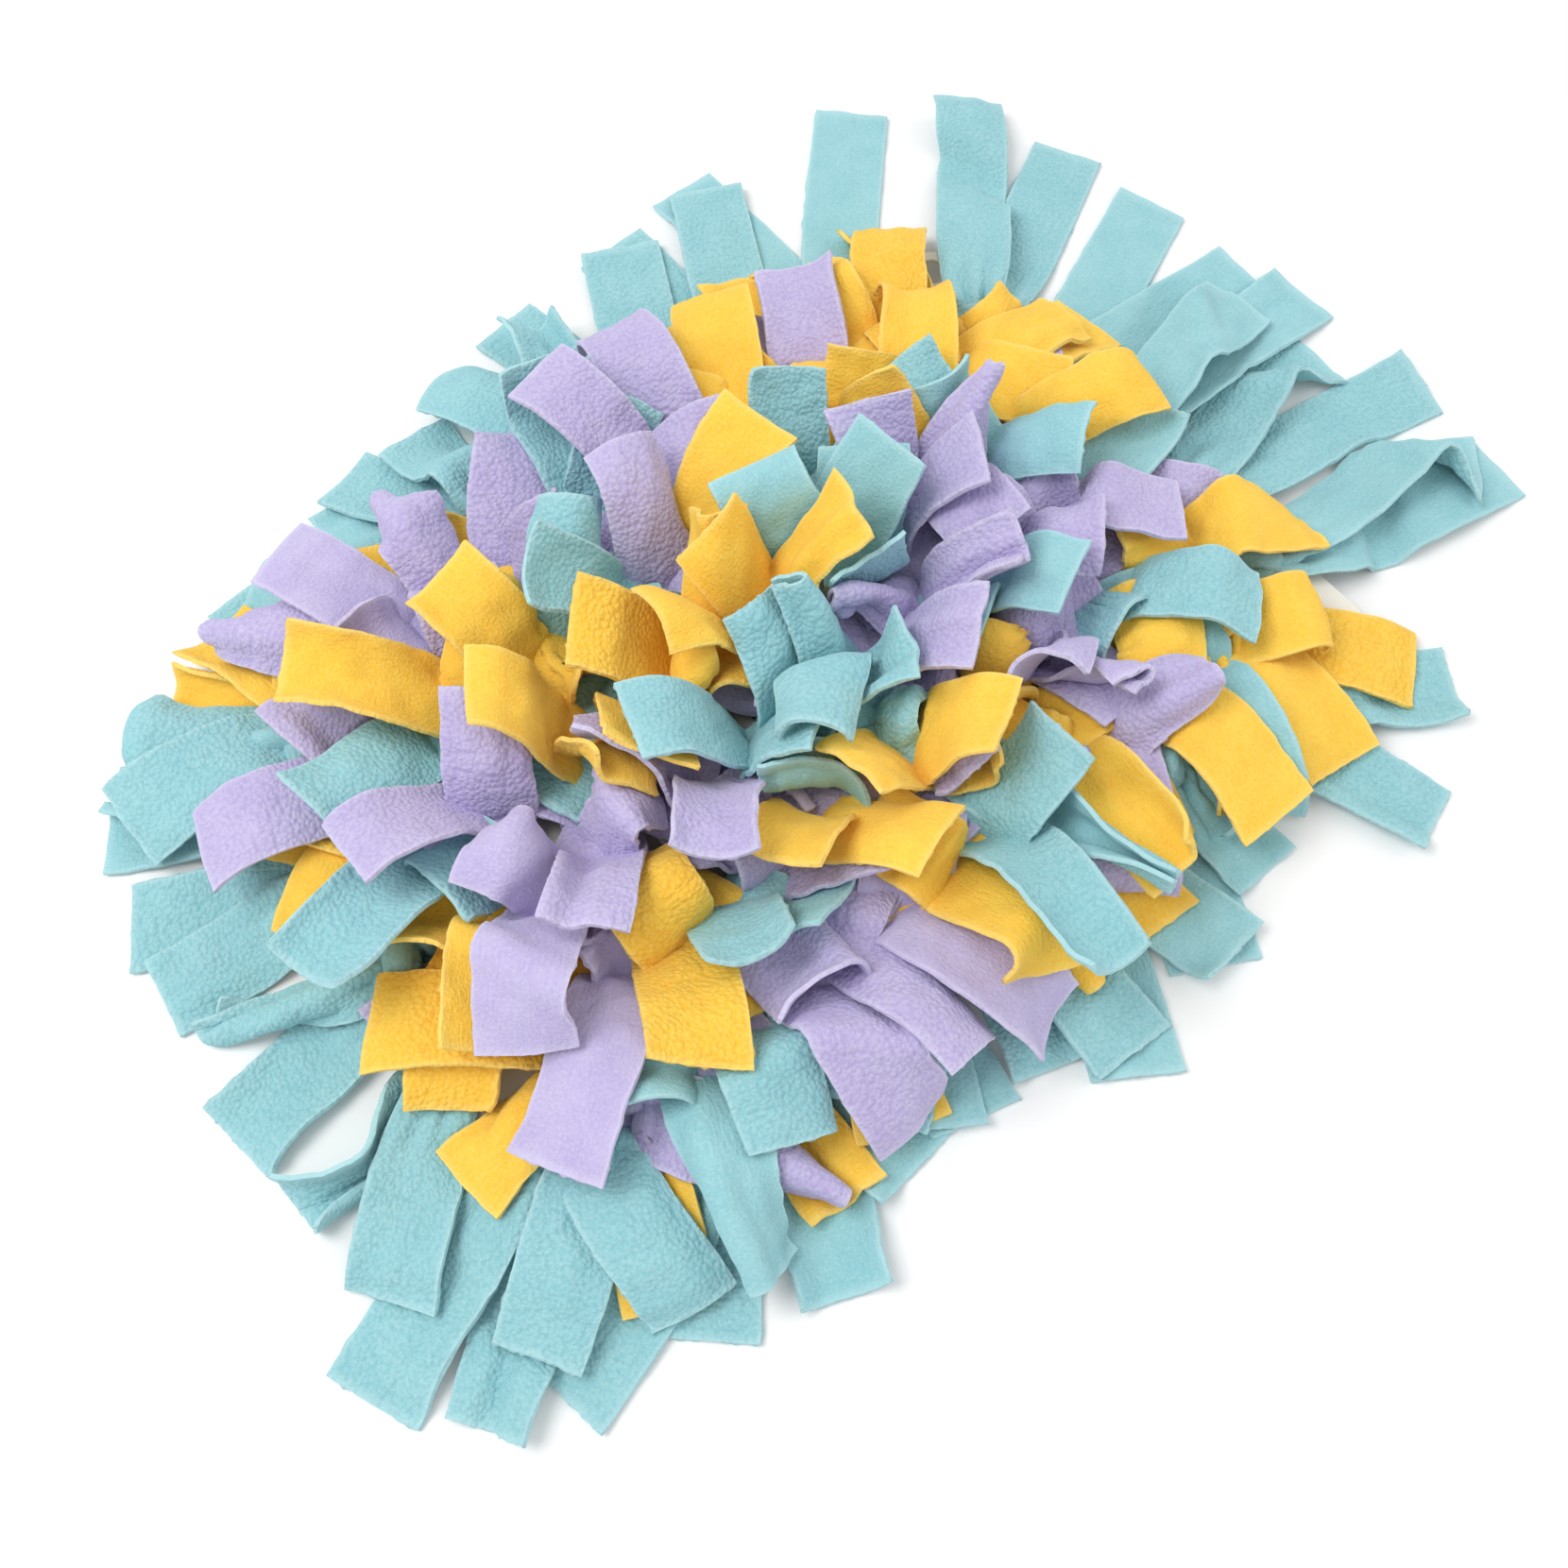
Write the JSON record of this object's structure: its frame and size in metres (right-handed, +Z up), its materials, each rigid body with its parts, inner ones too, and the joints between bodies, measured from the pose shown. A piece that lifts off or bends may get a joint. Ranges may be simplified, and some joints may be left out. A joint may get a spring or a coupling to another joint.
{
  "type": "snuffle mat",
  "caption": "Snuffle mat: short fleece strips in aqua, yellow and lavender, tied through a perforated plastic base so that their loose ends pile into a soft mound.",
  "frame": {"origin": "under the middle of the mat's box, on the surface that it rests on", "axes": "+X along the mat's long side, +Y along its short side, +Z up"},
  "size_m": [0.4446, 0.3374, 0.0589],
  "materials": {
    "base_plastic": "off-white, slightly see-through moulded plastic with a soft satin surface",
    "fleece_aqua": "aqua polar fleece, pebbled nap on one face and brushed on the other",
    "fleece_yellow": "warm yellow polar fleece, mostly brushed smooth",
    "fleece_lavender": "lavender polar fleece, pebbled nap on one face and brushed on the other"
  },
  "bodies": {
    "root": {"base": "base_plastic", "strip_1_2": "fleece_aqua", "strip_1_3": "fleece_aqua", "strip_1_4": "fleece_aqua", "strip_1_5": "fleece_aqua", "strip_1_6": "fleece_aqua", "strip_2_1": "fleece_aqua", "strip_2_2": "fleece_yellow", "strip_2_3": "fleece_lavender", "strip_2_4": "fleece_yellow", "strip_2_5": "fleece_yellow", "strip_2_6": "fleece_yellow", "strip_2_7": "fleece_aqua", "strip_3_1": "fleece_aqua", "strip_3_2": "fleece_yellow", "strip_3_3": "fleece_yellow", "strip_3_4": "fleece_lavender", "strip_3_5": "fleece_lavender", "strip_3_6": "fleece_yellow", "strip_3_7": "fleece_aqua", "strip_4_1": "fleece_aqua", "strip_4_2": "fleece_yellow", "strip_4_3": "fleece_lavender", "strip_4_4": "fleece_lavender", "strip_4_5": "fleece_aqua", "strip_4_6": "fleece_yellow", "strip_4_7": "fleece_aqua", "strip_5_1": "fleece_aqua", "strip_5_2": "fleece_yellow", "strip_5_3": "fleece_lavender", "strip_5_4": "fleece_lavender", "strip_5_5": "fleece_lavender", "strip_5_6": "fleece_lavender", "strip_5_7": "fleece_aqua", "strip_6_1": "fleece_aqua", "strip_6_2": "fleece_yellow", "strip_6_3": "fleece_lavender", "strip_6_4": "fleece_lavender", "strip_6_5": "fleece_yellow", "strip_6_6": "fleece_yellow", "strip_6_7": "fleece_aqua", "strip_7_1": "fleece_aqua", "strip_7_2": "fleece_yellow", "strip_7_3": "fleece_lavender", "strip_7_4": "fleece_lavender", "strip_7_5": "fleece_lavender", "strip_7_6": "fleece_yellow", "strip_7_7": "fleece_aqua", "strip_8_1": "fleece_aqua", "strip_8_2": "fleece_yellow", "strip_8_3": "fleece_yellow", "strip_8_4": "fleece_lavender", "strip_8_5": "fleece_yellow", "strip_8_6": "fleece_yellow", "strip_8_7": "fleece_aqua", "strip_9_2": "fleece_aqua", "strip_9_3": "fleece_aqua", "strip_9_4": "fleece_aqua", "strip_9_5": "fleece_aqua", "strip_9_6": "fleece_aqua"}
  },
  "joints": []
}
